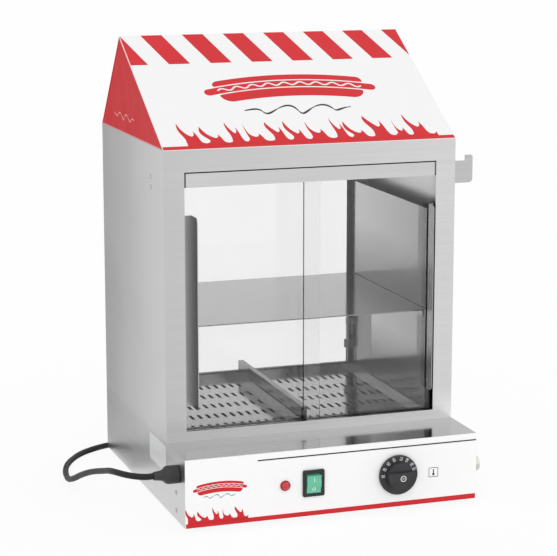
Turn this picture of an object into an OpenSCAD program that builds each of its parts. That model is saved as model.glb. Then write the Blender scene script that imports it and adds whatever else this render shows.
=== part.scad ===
/* [Cabinet] */
// Width over the side panels
cab_w = 370; // [350:5:400]
// Depth from the front frame to the back face
cab_d = 293; // [280:1:320]
// Height of the glazed cabinet above the base
cab_h = 352; // [345:1:400]
// Thickness of the steel sheets
sheet = 1; // [0.8:0.1:1.2]
// Width of the front frame's side stiles
stile_w = 25; // [20:1:30]
// Height of the front frame's header
header_h = 26.5; // [22:0.5:32]
// Height of the front frame's sill
sill_h = 12; // [10:0.5:16]

/* [Base] */
// How far the ledge stands out in front of the cabinet
ledge_d = 77; // [70:1:90]
// Height of the base without its feet
base_h = 83; // [80:1:95]
// Thickness of the control panel's face sheet
panel_t = 0.8; // [0.6:0.1:1.2]
// Width of the rests under the trays' edges
tray_rest = 10; // [8:0.5:14]
// Distance of the water tank's sides from the base's sides
tank_in = 14; // [12:0.5:16]
// Height of the rubber feet
foot_h = 6; // [5:0.5:12]
// Diameter of the rubber feet
foot_dia = 24; // [18:1:28]
// Distance of the feet from the base's sides
foot_inset = 40; // [34:1:60]
// Depth of the type label from front to back
label_d = 72; // [50:1:80]
// Height of the type label
label_h = 33; // [20:1:40]

/* [Roof sign] */
// Height of the ridge above the cabinet
roof_h = 119; // [100:1:140]
// Distance of the ridge behind the front frame
ridge_y = 198; // [170:1:210]

/* [Doors] */
// Thickness of the glass panes
glass_t = 4; // [3:0.5:5]
// Width of each sliding door
door_w = 175; // [172:1:185]
// How far the front track stands behind the frame
track_recess = 2.5; // [2:0.5:4]
// Depth of the door tracks from front to back
track_d = 20; // [18:1:24]
// Height of the upper track
track_h = 18.5; // [16:0.5:22]
// Height of the lower track
low_track_h = 10; // [8:0.5:11]
// Depth of the lower track's grooves
groove_d = 6; // [4:0.5:7]
// How far the right door's edge runs behind its stile
right_lap = 6; // [4:0.5:8]
// Free play of a pane in its groove on each side
pane_play = 0.5; // [0.3:0.1:0.8]
// Travel of each sliding door
door_travel = 135; // [100:1:136]
// Length of the door pulls
pull_h = 233; // [180:1:250]
// Height of the pulls' lower ends above the base
pull_up = 39; // [30:1:50]
// Width of a pull's leg on the glass
pull_leg = 12; // [10:1:14]
// How far the pulls stand out in front of the frame
pull_reach = 10; // [8:1:16]

/* [Inside] */
// Distance of the inner liners from the cabinet's sides
liner_in = 24; // [20:1:25]
// Height of the inner liners above the base
liner_h = 262; // [250:1:270]
// Distance of the liners behind the front frame
liner_y = 28; // [26:1:34]
// Length of the temperature probe
bulb_len = 82; // [60:1:84]
// Diameter of the temperature probe
bulb_dia = 5; // [4:0.5:5.5]
// Height of the shelf above the base
shelf_up = 135.3; // [120:0.5:150]
// Thickness of the shelf plate
shelf_t = 1.5; // [1:0.1:2]
// Leg length of the shelf brackets
bracket_leg = 9; // [8:0.5:12]
// Side clearance of the shelf and trays
lift_gap = 0.8; // [0.6:0.1:1.5]
// Height of the sausage trays' lips
lip_h = 7; // [5:0.5:9]
// Height of the divider above the trays
divider_h = 22; // [18:1:28]
// Width of the divider
divider_w = 7; // [6:0.5:10]
// Length of the slots in the trays
slot_len = 20; // [16:1:24]
// Width of the slots in the trays
slot_w = 4.2; // [3.5:0.1:5]
// Distance between slots across a tray
slot_pitch = 10.6; // [9:0.1:12]
// Distance between rows of slots
row_pitch = 46.5; // [40:0.5:50]
// Distance of the last row of slots from a tray's back
row_back = 40.5; // [34:0.5:42]
// Height of the rail behind the trays
rail_h = 10; // [8:0.5:12]

/* [Water tank and heater] */
// Height of the tank's floor above the base's lower edge
tank_up = 12; // [11:0.5:14]
// How far the tank reaches in front of the cabinet
tank_front = 16; // [12:1:18]
// Diameter of the heating element's tube
heater_dia = 8; // [6.5:0.5:9]
// Bend radius of the heating element
heater_bend = 60; // [50:1:70]
// Length of the heating element's straight legs
heater_leg = 165; // [140:5:175]
// Height of the drain above the tank's floor
drain_up = 7; // [6.5:0.5:9]
// Outside diameter of the drain pipe
drain_dia = 12; // [10:0.5:12]
// Diameter of the drain tap's body
tap_dia = 18; // [16:0.5:19]
// Diameter of the drain tap's spout
spout_dia = 9; // [8:0.5:10]
// Length of the tap lever
lever_len = 34; // [28:1:40]

/* [Controls] */
// Height of the controls above the base's lower edge
control_z = 41; // [38:0.5:44]
// Indicator lamp's distance from the left side
lamp_x = 123; // [110:1:128]
// Diameter of the indicator lamp's lens
lamp_dia = 12.5; // [10:0.5:14]
// Rocker switch's distance from the left side
rocker_x = 158.5; // [154:0.5:164]
// Width of the rocker switch's bezel
bezel_w = 27.2; // [26:0.2:30]
// Height of the rocker switch's bezel
bezel_h = 32.6; // [31:0.2:36]
// Width of the rocker
rocker_w = 17.6; // [16:0.2:19]
// Height of the rocker
rocker_h = 21.6; // [20:0.2:23]
// Tilt of the rocker each way from level
rocker_tilt = 7; // [5:0.5:8]
// Knob's distance from the left side
knob_x = 266.5; // [255:0.5:280]
// Diameter of the temperature knob
knob_dia = 48.5; // [40:0.5:54]
// Depth of the temperature knob
knob_depth = 15; // [12:0.5:18]
// Diameter of the thermostat's spindle
spindle_dia = 6; // [5:0.5:8]
// Radial running clearance of pins and spindles
run_gap = 0.05; // [0.02:0.01:0.08]

/* [Mains lead] */
// Diameter of the mains cord
cord_d = 7.5; // [7:0.1:8]
// Diameter of the cable gland's dome
gland_dia = 22; // [20:0.5:26]
// Gland's distance in front of the cabinet
gland_y = 48; // [40:1:54]
// Height of the gland above the base's lower edge
gland_z = 59; // [50:1:64]
// Diameter of the plug's face
plug_dia = 37; // [36:0.5:39]
// Clearance between the coil's turns
coil_gap = 0.6; // [0.5:0.1:0.7]

/* [Tong hook and rivets] */
// How far the tong hook stands out from the side
hook_reach = 46; // [30:1:50]
// Height of the tong hook's plate
hook_h = 28; // [22:1:32]
// Thickness of the tong hook's plate
hook_t = 2; // [1.5:0.1:2.5]
// Diameter of the rivet heads
rivet_dia = 5; // [4:0.1:6]
// Height of the rivet heads
rivet_h = 1.2; // [0.8:0.1:1.6]

/* [Hidden] */
top_z = base_h + cab_h;
ridge_z = top_z + roof_h;
gable_in = 0.4;
fit = 0.2;
eps = 0.01;
front_y = -ledge_d - panel_t;

frame_bottom = base_h + sill_h;
frame_top = top_z - header_h;
rear_stile = 31;
rear_sill = 9;
rear_header = 30;

front_pane_y = track_recess + track_d / 2 - 5;
rear_pane_y = track_recess + track_d / 2 + 5;
pane_bottom = base_h + low_track_h - groove_d + 0.5;
upper_groove = 12;
pane_top = frame_top - track_h + upper_groove - 2;
left_door_x = stile_w;
right_door_x = cab_w - stile_w + right_lap - door_w;
track_inset = stile_w - right_lap - 5;
pull_t = sheet;

tray_z = base_h + sheet;
tray_front = track_recess + track_d + 9.5;
tray_back = cab_d - 12.5;
divider_gap = 1;
tray_left_x = liner_in + sheet + lift_gap;
tray_inner = cab_w / 2 - divider_w / 2 - divider_gap;
shelf_z = base_h + shelf_up;
tray_w = tray_inner - tray_left_x;
rail_y = tray_back + 2.5;
rail_in = liner_in + sheet + 8;
bulb_y = tray_back + bulb_dia / 2 + 1;
bulb_up = 40;
capillary_dia = 2;
label_y = 4;
label_down = 5;
bulb_x = cab_w - liner_in - sheet - 6;
shelf_front = liner_y - 2;
shelf_back = cab_d - sheet - glass_t - 6;
bracket_t = 1.5;
bracket_len = 240;
roof_bracket_len = 20;
roof_bracket_front = 108;
roof_bracket_back = 22;
roof_bracket_y = [ridge_y - roof_bracket_front, ridge_y + roof_bracket_back];
track_tab_in = 80;
track_tab_w = 14;
rear_screw_in = 14;
rear_screw_up = 30;
rear_screw_x = [rear_screw_in, cab_w - rear_screw_in];
rear_screw_z = [base_h + rear_screw_up, top_z - rear_screw_up];
base_screw_in = 60;
base_screw_z = 20;
base_screw_x = [base_screw_in, cab_w / 2, cab_w - base_screw_in];
lead_row = 44;
lead_drop = 17;
lead_low = 30;
lead_mid = 34;
lead_high = 44;
heater_lead_z = 15;

tank_x = tank_in;
tank_wall = sheet;
tank_back = tray_back;
tank_top = base_h - sheet;
heater_z = tank_up + tank_wall + 11;
heater_x = cab_w / 2 - 20;
heater_start = -tank_front - 16;
heater_stub = 8;
cutout = [heater_x + heater_bend + 45, -tank_front - 11, 40];
cutout_tab = 8;
flange_nut_h = 5;
flange_nut_dia = 15;
drain_y = 0;
drain_z = tank_up + drain_up + tank_wall;
drain_bore = 4.2;
pipe_out = 6;
tap_len = 31;
spout_drop = 18;
spout_len = 9;
lever_stem_dia = 6;
lever_w = 8;
lever_t = 2.5;

knob_gap = 0.5;
spindle_in = 14;
thermo_w = 40;
thermo_h = 38;
thermo_d = 24;
bush_dia = 9;
pivot_in = 6;
bezel_t = 2;
switch_w = rocker_w + 3.8;
switch_h = rocker_h + 7;
switch_d = 26;
pivot_pin_dia = 3;
pivot_pin_len = 1.2;
lamp_body_dia = 9.6;
lamp_body_len = 24;

gland_len = 19;
neck_len = 11;
neck_dia = cord_d + 2.4;
gland_thread_dia = 16;
gland_nut_w = 24;
block_x = 58;
block_well = 9;
lead_in = 26;
feet_y = [-ledge_d + foot_inset - 3, cab_d - foot_inset];
feet_x = [foot_inset, cab_w - foot_inset];
hook_z = top_z - 35.5;
hook_y = 50;
hook_foot = 17;
hook_low = hook_z - hook_h;
side_rivets = [for (up = [0.475, 0.9]) [hook_y + hook_foot / 2, hook_low + up * hook_h]];
base_rivets = [[-ledge_d + 38.5, 33.4], [-ledge_d + 38.5, 11.2]];
screw_dia = 4;
head_h = 1.6;

reach_left = rivet_h;
reach_right = max(cab_w + hook_reach, cab_w + pipe_out + tap_len);
reach_front = -front_y + knob_gap + knob_depth;
reach_back = cab_d + head_h;
mid_x = (reach_right - reach_left) / 2;
mid_y = (reach_back - reach_front) / 2;

floor_z = -foot_h;
coil_x = 120;
coil_y = 364;
coil_r = 47;
coil_turns = 4;
coil_pitch = cord_d + coil_gap;
coil_low = floor_z + cord_d / 2;
coil_high = coil_low + coil_pitch;
plug_z = floor_z + plug_dia / 2;
tail_len = 56;
plug_x = coil_x + tail_len;
cord_end = [coil_x - cord_d, coil_y - coil_r, coil_low];
cord_route = [
    [-30, -48, 59], [-39, -48, 59], [-48, -45.6, 59.6], [-57, -40, 60.3],
    [-64, -30.5, 60.4], [-69, -16, 59.2], [-71, 4, 55], [-73, 28, 48], [-75, 52, 41],
    [-78, 76, 33], [-81, 99, 24], [-83, 120, 15], [-84, 140, 7], [-84, 160, 1],
    [-82, 180, -1.8], [-79, 200, -2.25], [-74, 220, -2.25], [-66, 240, -2.25],
    [-55, 259, -2.25], [-42, 276, -2.25], [-26, 290, -2.25], [-8, 301, -2.25],
    [12, 309, -2.25], [34, 314, -2.25], [57, 316.5, -2.25], [80, 317, -2.25],
    [100, 317, -2.25], [112.5, 317, -2.25]
];

$fn = 48;

// Places the cabinet's frame so that the origin is the middle of the footprint, on the floor
module placed() {
    translate([-mid_x, -mid_y, foot_h]) children();
}

// Block between two corners
module block(low, high) {
    translate(low) cube(high - low);
}

// Round bars that start at a point and run along one axis
module bar_x(from, len, r) {
    translate(from) rotate([0, 90, 0]) cylinder(h = len, r = r);
}

module bar_y(from, len, r) {
    translate(from) rotate([-90, 0, 0]) cylinder(h = len, r = r);
}

module bar_z(from, len, r) {
    translate(from) cylinder(h = len, r = r);
}

// Profile in the YZ plane, drawn out along X
module profile_x(from, len, points) {
    translate([from, 0, 0]) rotate([90, 0, 90]) linear_extrude(len) polygon(points);
}

// Outline in the XZ plane, drawn out along Y
module outline_y(from, len) {
    translate([0, from + len, 0]) rotate([90, 0, 0]) linear_extrude(len) children();
}

// Rectangle with rounded corners
module round_rect(low, high, r) {
    translate([low[0] + r, low[1]]) square([high[0] - low[0] - 2 * r, high[1] - low[1]]);
    translate([low[0], low[1] + r]) square([high[0] - low[0], high[1] - low[1] - 2 * r]);
    for (x = [low[0] + r, high[0] - r], z = [low[1] + r, high[1] - r])
        translate([x, z]) circle(r);
}

// Hexagonal prism along X
module hex_x(from, len, across) {
    translate(from) rotate([0, 90, 0]) cylinder(h = len, r = across / sqrt(3), $fn = 6);
}

// Openings in the front wall for the lamp, the switch and the thermostat's bush
module control_holes(clear) {
    bar_y([lamp_x, front_y - 1, control_z], panel_t + sheet + 2, lamp_body_dia / 2 + clear);
    bar_y([knob_x, front_y - 1, control_z], panel_t + sheet + 2, bush_dia / 2 + clear);
    block([rocker_x - switch_w / 2 - clear, front_y - 1, control_z - switch_h / 2 - clear],
          [rocker_x + switch_w / 2 + clear, -ledge_d + sheet + 1, control_z + switch_h / 2 + clear]);
}

module base_housing() {
    color([0.78, 0.78, 0.79]) placed() difference() {
        block([0, -ledge_d, 0], [cab_w, cab_d, base_h]);
        block([sheet, -ledge_d + sheet, -1], [cab_w - sheet, cab_d - sheet, base_h - sheet]);
        for (x = [tray_left_x, cab_w - tray_inner])
            block([x + tray_rest, tray_front + tray_rest, base_h - 2 * sheet],
                  [x + tray_w - tray_rest, tray_back - tray_rest, base_h + 1]);
        control_holes(fit);
        bar_x([-1, -gland_y, gland_z], sheet + 2, gland_thread_dia / 2 + fit);
        bar_x([cab_w - sheet - 1, drain_y, drain_z], sheet + 2, drain_dia / 2 + fit);
        for (p = base_rivets, x = [-1, cab_w - sheet - 1]) bar_x([x, p[0], p[1]], sheet + 2, 1.6);
        for (x = base_screw_x) bar_y([x, cab_d - sheet - 1, base_screw_z], sheet + 2, screw_dia / 2);
    }
}

module control_panel() {
    color([0.95, 0.95, 0.95]) placed() difference() {
        block([0, front_y, 0], [cab_w, -ledge_d, base_h]);
        control_holes(fit);
    }
}

module bottom_plate() {
    vent_pitch = 12;
    color([0.7, 0.7, 0.71]) placed() difference() {
        block([sheet, -ledge_d + sheet, 0], [cab_w - sheet, cab_d - sheet, sheet]);
        for (x = feet_x, y = feet_y) bar_z([x, y, -1], sheet + 2, screw_dia / 2 + fit);
        for (i = [0:9]) block([cab_w / 2 - 60 + i * vent_pitch, -60, -1],
                              [cab_w / 2 - 56 + i * vent_pitch, -30, sheet + 1]);
    }
}

module rubber_foot() {
    rotate_extrude() polygon([
        [screw_dia / 2 + fit, 0], [foot_dia / 2, 0], [foot_dia / 2 - 2, -foot_h],
        [screw_dia + 1, -foot_h], [screw_dia + 1, -foot_h / 2], [screw_dia / 2 + fit, -foot_h / 2]
    ]);
}

module rubber_feet() {
    color([0.08, 0.08, 0.08]) placed()
        for (x = feet_x, y = feet_y) translate([x, y, 0]) rubber_foot();
}

// Pan-head screw through each foot, with its nut on the bottom plate
module foot_screws() {
    color([0.75, 0.75, 0.77]) placed() for (x = feet_x, y = feet_y) {
        bar_z([x, y, -foot_h / 2 - 2], 2, screw_dia - 0.2);
        bar_z([x, y, -foot_h / 2], foot_h / 2 + sheet + 5, screw_dia / 2);
        translate([x, y, sheet]) difference() {
            cylinder(h = 3.2, r = 4, $fn = 6);
            translate([0, 0, -1]) cylinder(h = 6, r = screw_dia / 2);
        }
    }
}

module water_tank() {
    color([0.72, 0.73, 0.74]) placed() difference() {
        block([tank_x, -tank_front, tank_up], [cab_w - tank_x, tank_back, tank_top]);
        block([tank_x + tank_wall, -tank_front + tank_wall, tank_up + tank_wall],
              [cab_w - tank_x - tank_wall, tank_back - tank_wall, tank_top + 1]);
        for (s = [-1, 1]) bar_y([heater_x + s * heater_bend, -tank_front - 1, heater_z],
                                tank_wall + 2, heater_dia / 2 + fit);
        bar_x([cab_w - tank_x - tank_wall - 1, drain_y, drain_z], tank_wall + 2, drain_dia / 2 + fit);
    }
}

// Hairpin of tube lying over the tank's floor, with its ends in the dry space in front
module heating_element() {
    bend_y = heater_start + heater_leg + 60;
    color([0.35, 0.33, 0.32]) placed() {
        for (s = [-1, 1]) bar_y([heater_x + s * heater_bend, heater_start, heater_z],
                                bend_y - heater_start, heater_dia / 2);
        translate([heater_x, bend_y, heater_z]) rotate_extrude(angle = 180)
            translate([heater_bend, 0]) circle(heater_dia / 2);
        for (s = [-1, 1])
            bar_y([heater_x + s * heater_bend, heater_start - heater_stub, heater_z], heater_stub, 1.5);
    }
}

module heater_nuts() {
    nut_y = -tank_front - flange_nut_h;
    color([0.8, 0.65, 0.3]) placed() for (s = [-1, 1]) difference() {
        translate([heater_x + s * heater_bend, nut_y, heater_z]) rotate([-90, 0, 0])
            cylinder(h = flange_nut_h, r = flange_nut_dia / 2, $fn = 6);
        bar_y([heater_x + s * heater_bend, nut_y - 1, heater_z], flange_nut_h + 2, heater_dia / 2);
    }
}

module drain_pipe() {
    from = cab_w - tank_x - tank_wall - 2;
    color([0.72, 0.73, 0.74]) placed() difference() {
        bar_x([from, drain_y, drain_z], cab_w + pipe_out - from, drain_dia / 2);
        bar_x([from - 1, drain_y, drain_z], cab_w + pipe_out - from + 2, drain_bore);
    }
}

module drain_tap_body() {
    from = cab_w + pipe_out;
    end = from + tap_len;
    spout_x = end - tap_dia / 2 + 2;
    stem_x = from + tap_len / 2 - 1;
    color([0.8, 0.8, 0.8]) placed() difference() {
        union() {
            bar_x([from, drain_y, drain_z], tap_len, tap_dia / 2);
            bar_z([spout_x, drain_y, drain_z - spout_drop], spout_drop, spout_dia / 2);
            bar_z([spout_x, drain_y, drain_z - spout_drop + spout_len], spout_drop - spout_len,
                  spout_dia / 2 + 2);
            bar_z([stem_x, drain_y, drain_z], tap_dia / 2 + 3, lever_stem_dia / 2 + 1.8);
        }
        bar_x([from - 1, drain_y, drain_z], tap_len - 3, drain_bore);
        bar_z([spout_x, drain_y, drain_z - spout_drop - 1], spout_drop + 1, spout_dia / 2 - 1.4);
        bar_z([stem_x, drain_y, drain_z + drain_bore + 1.5], tap_dia, lever_stem_dia / 2 + run_gap);
    }
}

module drain_tap_lever() {
    stem_x = cab_w + pipe_out + tap_len / 2 - 1;
    lever_z = drain_z + tap_dia / 2 + 3 + 0.4;
    color([0.75, 0.1, 0.1]) placed() {
        bar_z([stem_x, drain_y, drain_z + drain_bore + 2], lever_z - drain_z - drain_bore - 2,
              lever_stem_dia / 2);
        bar_z([stem_x, drain_y, lever_z], lever_t, lever_w / 2 + 1);
        block([stem_x - lever_w / 2, drain_y, lever_z],
              [stem_x + lever_w / 2, drain_y + lever_len - lever_w / 2, lever_z + lever_t]);
        bar_z([stem_x, drain_y + lever_len - lever_w / 2, lever_z], lever_t, lever_w / 2);
    }
}

module thermostat() {
    back = -ledge_d + sheet;
    color([0.2, 0.2, 0.22]) placed() difference() {
        union() {
            block([knob_x - thermo_w / 2, back, control_z - thermo_h / 2],
                  [knob_x + thermo_w / 2, back + thermo_d, control_z + thermo_h / 2]);
            bar_y([knob_x, front_y + fit, control_z], -front_y + back, bush_dia / 2);
        }
        bar_y([knob_x, front_y - 1, control_z], -front_y + back + spindle_in + 1.5,
              spindle_dia / 2 + run_gap);
    }
}

module thermostat_spindle() {
    from = front_y - knob_gap - knob_depth + 3.5;
    color([0.75, 0.75, 0.76]) placed()
        bar_y([knob_x, from, control_z], -ledge_d + sheet + spindle_in - from, spindle_dia / 2);
}

// Round knob with a raised grip bar across its face
module temperature_knob() {
    back = front_y - knob_gap;
    skirt = 4;
    scale_w = 7.75;
    grip_w = 11;
    color([0.06, 0.06, 0.06]) placed() translate([knob_x, back, control_z]) difference() {
        union() {
            rotate([90, 0, 0]) cylinder(h = skirt, r = knob_dia / 2);
            rotate([90, 0, 0]) cylinder(h = knob_depth - 4, r = knob_dia / 2 - scale_w);
            intersection() {
                rotate([90, 0, 0]) cylinder(h = knob_depth, r = knob_dia / 2 - scale_w);
                block([-knob_dia, -knob_depth, -grip_w / 2], [knob_dia, 0, grip_w / 2]);
            }
        }
        rotate([90, 0, 0]) translate([0, 0, -1]) cylinder(h = knob_depth - 2.5 + eps, r = spindle_dia / 2);
    }
}

// Temperature probe on the right liner, with its capillary down to the thermostat's space
module sensor_bulb() {
    color([0.78, 0.78, 0.79]) placed() translate([bulb_x, bulb_y, base_h]) {
        bar_z([0, 0, bulb_up], bulb_len, bulb_dia / 2);
        bar_z([0, 0, 0], bulb_up, capillary_dia / 2);
        translate([0, 0, bulb_up + bulb_len]) sphere(bulb_dia / 2);
    }
}

// Saddle round the probe, with a foot below it that is screwed to the liner behind the trays
module sensor_clip() {
    wall = cab_w - liner_in - sheet;
    r = bulb_dia / 2;
    low = base_h + bulb_up + 22;
    band_h = 9;
    foot = 14;
    foot_t = 1.2;
    color([0.8, 0.8, 0.8]) placed() difference() {
        union() {
            block([bulb_x, bulb_y - r - 0.5, low], [wall, bulb_y + r + 0.5, low + band_h]);
            bar_z([bulb_x, bulb_y, low], band_h, r + 0.7);
            block([wall - foot_t, bulb_y - r, low - foot], [wall, bulb_y + r - 0.1, low]);
            bar_x([wall - 2 * foot_t, bulb_y, low - foot / 2], 2 * foot_t, r - 0.2);
        }
        bar_z([bulb_x, bulb_y, low - 1], band_h + 2, r);
    }
}

module safety_cutout() {
    color([0.15, 0.15, 0.16]) placed() translate(cutout) {
        bar_y([0, 0, 0], 11, 9);
        block([-12, 9, -4], [12, 11, 4]);
        for (s = [-1, 1]) block([s * 4 - 1, -cutout_tab, -3], [s * 4 + 1, 0, 3]);
    }
}

module rocker_housing() {
    pivot_y = front_y + pivot_in;
    inner_w = rocker_w + 0.8;
    inner_h = rocker_h + 2.6;
    color([0.05, 0.05, 0.05]) placed() translate([rocker_x, 0, control_z]) difference() {
        union() {
            outline_y(front_y - bezel_t, bezel_t)
                round_rect([-bezel_w / 2, -bezel_h / 2], [bezel_w / 2, bezel_h / 2], 2);
            block([-switch_w / 2, front_y - eps, -switch_h / 2],
                  [switch_w / 2, front_y + switch_d, switch_h / 2]);
            for (z = [-8, 0, 8]) block([-3, front_y + switch_d - 1, z - 0.4],
                                       [3, front_y + switch_d + 9, z + 0.4]);
        }
        block([-inner_w / 2, front_y - bezel_t - 1, -inner_h / 2],
              [inner_w / 2, pivot_y + rocker_h / 2 + 2, inner_h / 2]);
        bar_x([-inner_w / 2 - 1.2, pivot_y, 0], inner_w + 2.4, pivot_pin_dia / 2 + run_gap);
    }
}

// Rocker with a shallow V face, pressed in at its lower end at rest
module rocker_button() {
    pivot_y = front_y + pivot_in;
    tip = pivot_in + bezel_t + 1.6;
    half = rocker_h / 2;
    color([0.1, 0.75, 0.3]) placed() translate([rocker_x, pivot_y, control_z])
        rotate([rocker_tilt, 0, 0]) {
            profile_x(-rocker_w / 2, rocker_w, [
                [0, -half], [-tip, -half], [-tip + 1.6, 0], [-tip, half], [0, half]
            ]);
            bar_x([-rocker_w / 2, 0, 0], rocker_w, half);
            bar_x([-rocker_w / 2 - pivot_pin_len, 0, 0], rocker_w + 2 * pivot_pin_len, pivot_pin_dia / 2);
        }
}

module indicator_lamp() {
    color([0.85, 0.1, 0.1]) placed() translate([lamp_x, front_y, control_z]) {
        rotate([90, 0, 0]) rotate_extrude() polygon([
            [0, 0], [lamp_dia / 2, 0], [lamp_dia / 2, 1.2], [lamp_dia / 2 - 1, 1.8],
            [lamp_dia / 2 - 1.4, 3.2], [lamp_dia / 2 - 2.8, 4.4], [0, 5]
        ]);
        bar_y([0, -eps, 0], lamp_body_len, lamp_body_dia / 2);
        translate([0, panel_t + sheet, 0]) rotate([-90, 0, 0]) cylinder(h = 3, r = 8, $fn = 6);
    }
}

module terminal_block() {
    ways = 3;
    pitch = 11;
    color([0.9, 0.9, 0.86]) placed() translate([block_x, -50, sheet]) difference() {
        block([0, 0, 0], [ways * pitch + 3, 22, 16]);
        for (i = [0:ways - 1], y = [6, 16]) bar_z([7 + i * pitch, y, block_well], 8, 2.6);
        for (i = [0:ways - 1]) bar_y([7 + i * pitch, -1, 5], 24, 2);
    }
}

// Smooth curve through a list of points, with n steps from each point to the next
function curve(p, n) = let (last = len(p) - 1) [
    for (i = [0:last - 1], k = [0:n - 1]) let (
        a = p[max(i - 1, 0)], b = p[i], c = p[i + 1], d = p[min(i + 2, last)], t = k / n
    ) (2 * b + (c - a) * t + (2 * a - 5 * b + 4 * c - d) * t * t
        + (3 * b - a - 3 * c + d) * t * t * t) / 2,
    p[last]
];

module wire(points, r) {
    tube(curve(points, 5), r, 6, [0.1, 1, 0.2]);
}

// Leads between the electrical pieces
module inner_wiring() {
    block_top = sheet + block_well;
    switch_back = front_y + switch_d + 9;
    thermo_back = -ledge_d + sheet + thermo_d;
    lamp_back = front_y + lamp_body_len;
    cutout_end = cutout[1] - cutout_tab;
    heater_end = heater_start - heater_stub;
    lead_z = base_h - lead_drop;
    row = -lead_row;
    color([0.12, 0.12, 0.14]) placed() {
        wire([[lead_in, -gland_y, gland_z], [lead_in + 14, -gland_y, gland_z - 2],
              [block_x, row - 2, lead_high], [block_x + 7, row, lead_low], [block_x + 7, row, block_top]], 1.6);
        wire([[block_x + 18, row, block_top], [block_x + 18, row, lead_mid],
              [block_x + 36, row + 4, lead_z - 8], [lamp_x + 1, row + 4, lead_z],
              [rocker_x - 10, row, lead_z - 6],
              [rocker_x - 6, switch_back + 4, control_z + 8],
              [rocker_x - 3, switch_back, control_z + 8]], 1.4);
        wire([[block_x + 29, row, block_top], [block_x + 29, row, lead_mid],
              [lamp_x - 5, row + 12, lead_z - 14], [rocker_x + 11.5, row + 14, lead_z],
              [knob_x - 40, row + 8, lead_z - 4],
              [knob_x - 12, thermo_back + 6, control_z + 8],
              [knob_x - 12, thermo_back, control_z + 8]], 1.4);
        wire([[lamp_x, lamp_back, control_z], [lamp_x, lamp_back + 6, control_z],
              [rocker_x - 16, row + 2, control_z - 6], [rocker_x - 6, switch_back + 4, control_z - 8],
              [rocker_x - 3, switch_back, control_z - 8]], 1.2);
        wire([[heater_x + heater_bend, heater_end, heater_z],
              [heater_x + heater_bend, heater_end - 6, heater_z],
              [knob_x - 12, thermo_back + 8, control_z - 10],
              [knob_x - 12, thermo_back, control_z - 8]], 1.4);
        wire([[heater_x - heater_bend, heater_end, heater_z],
              [heater_x - heater_bend, heater_end - 6, heater_z],
              [heater_x - 30, row + 2, heater_lead_z],
              [heater_x + heater_bend, heater_end + 2, heater_lead_z - 1],
              [cutout[0] - 8, cutout_end - 6, cutout[2] - 8], [cutout[0] - 4, cutout_end - 6, cutout[2]],
              [cutout[0] - 4, cutout_end, cutout[2]]], 1.4);
        wire([[cutout[0] + 4, cutout_end, cutout[2]], [cutout[0] + 4, cutout_end - 6, cutout[2]],
              [knob_x + 12, thermo_back + 6, control_z + 6],
              [knob_x + 12, thermo_back, control_z + 6]], 1.4);
    }
}

// Dome nut, tapered neck and threaded shank of the cable gland
module cable_gland() {
    r = gland_dia / 2;
    inner = cord_d / 2 + 0.1;
    color([0.07, 0.07, 0.07]) placed() translate([0, -gland_y, gland_z]) rotate([0, -90, 0])
        rotate_extrude() polygon([
            [inner, -sheet - 8], [gland_thread_dia / 2, -sheet - 8], [gland_thread_dia / 2, 0],
            [r - 1, 0], [r, 1], [r, gland_len - 6], [r - 1, gland_len - 3],
            [r - 3, gland_len - 1], [neck_dia / 2 + 2, gland_len], [neck_dia / 2 + 1, gland_len + 3],
            [neck_dia / 2, gland_len + neck_len], [inner, gland_len + neck_len]
        ]);
}

module gland_locknut() {
    color([0.07, 0.07, 0.07]) placed() difference() {
        hex_x([sheet, -gland_y, gland_z], 5, gland_nut_w);
        bar_x([sheet - 1, -gland_y, gland_z], 7, gland_thread_dia / 2);
    }
}

// Tube of flat facets along a path, square to it at every ring
function unit(v) = v / norm(v);
function heading(path, i) = let (n = len(path) - 1)
    unit(path[min(i + 1, n)] - path[max(i - 1, 0)]);
function ring(path, i, r, sides, about) = let (
    t = heading(path, i),
    side = unit(cross(t, about)),
    up = cross(side, t)
) [for (k = [0:sides - 1]) let (a = 360 * (k + 0.5) / sides)
    path[i] + r * (cos(a) * side + sin(a) * up)];

module tube(path, r, sides, about = [0, 0, 1]) {
    n = len(path);
    points = [for (i = [0:n - 1]) each ring(path, i, r, sides, about)];
    walls = [for (i = [0:n - 2], k = [0:sides - 1]) let (
        a = i * sides + k, b = i * sides + (k + 1) % sides
    ) each [[a, b, b + sides], [a, b + sides, a + sides]]];
    caps = [for (k = [1:sides - 2]) each [[0, k + 1, k],
            [(n - 1) * sides, (n - 1) * sides + k, (n - 1) * sides + k + 1]]];
    polyhedron(points = points, faces = concat(walls, caps), convexity = 6);
}

// Free stretch of the cord, with its straight end through the gland
module mains_cord() {
    color([0.06, 0.06, 0.06]) placed()
        tube(concat([[lead_in, -gland_y, gland_z]], cord_route), cord_d / 2, 8);
}

// Two layers: the turns spiral in, climb in the half turn where they reverse, and spiral out
function ease(t) = let (u = min(max(t, 0), 1)) u * u * (3 - 2 * u);
function coil_point(turn) = let (
    middle = coil_turns / 2,
    r = coil_r - coil_pitch * (middle - abs(turn - middle)),
    a = 360 * turn - 90
) [coil_x + r * cos(a), coil_y + r * sin(a), coil_low + coil_pitch * ease((turn - middle) * 2 + 0.5)];
function tail_point(s) = [
    coil_x + s * tail_len, coil_y - coil_r, coil_high + (plug_z - coil_high) * ease((s - 0.12) / 0.68)
];
coil_path = concat(
    [cord_end],
    [for (i = [0:24 * coil_turns]) coil_point(i / 24)],
    [for (i = [1:6]) tail_point(i / 6)]
);
own_gaps = [for (i = [0:len(coil_path) - 8], j = [i + 7:len(coil_path) - 1])
    norm(coil_path[i] - coil_path[j]) - cord_d];
echo(least_coil_gap = min(own_gaps));

module cord_coil() {
    color([0.06, 0.06, 0.06]) placed() tube(coil_path, cord_d / 2, 6);
}

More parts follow.
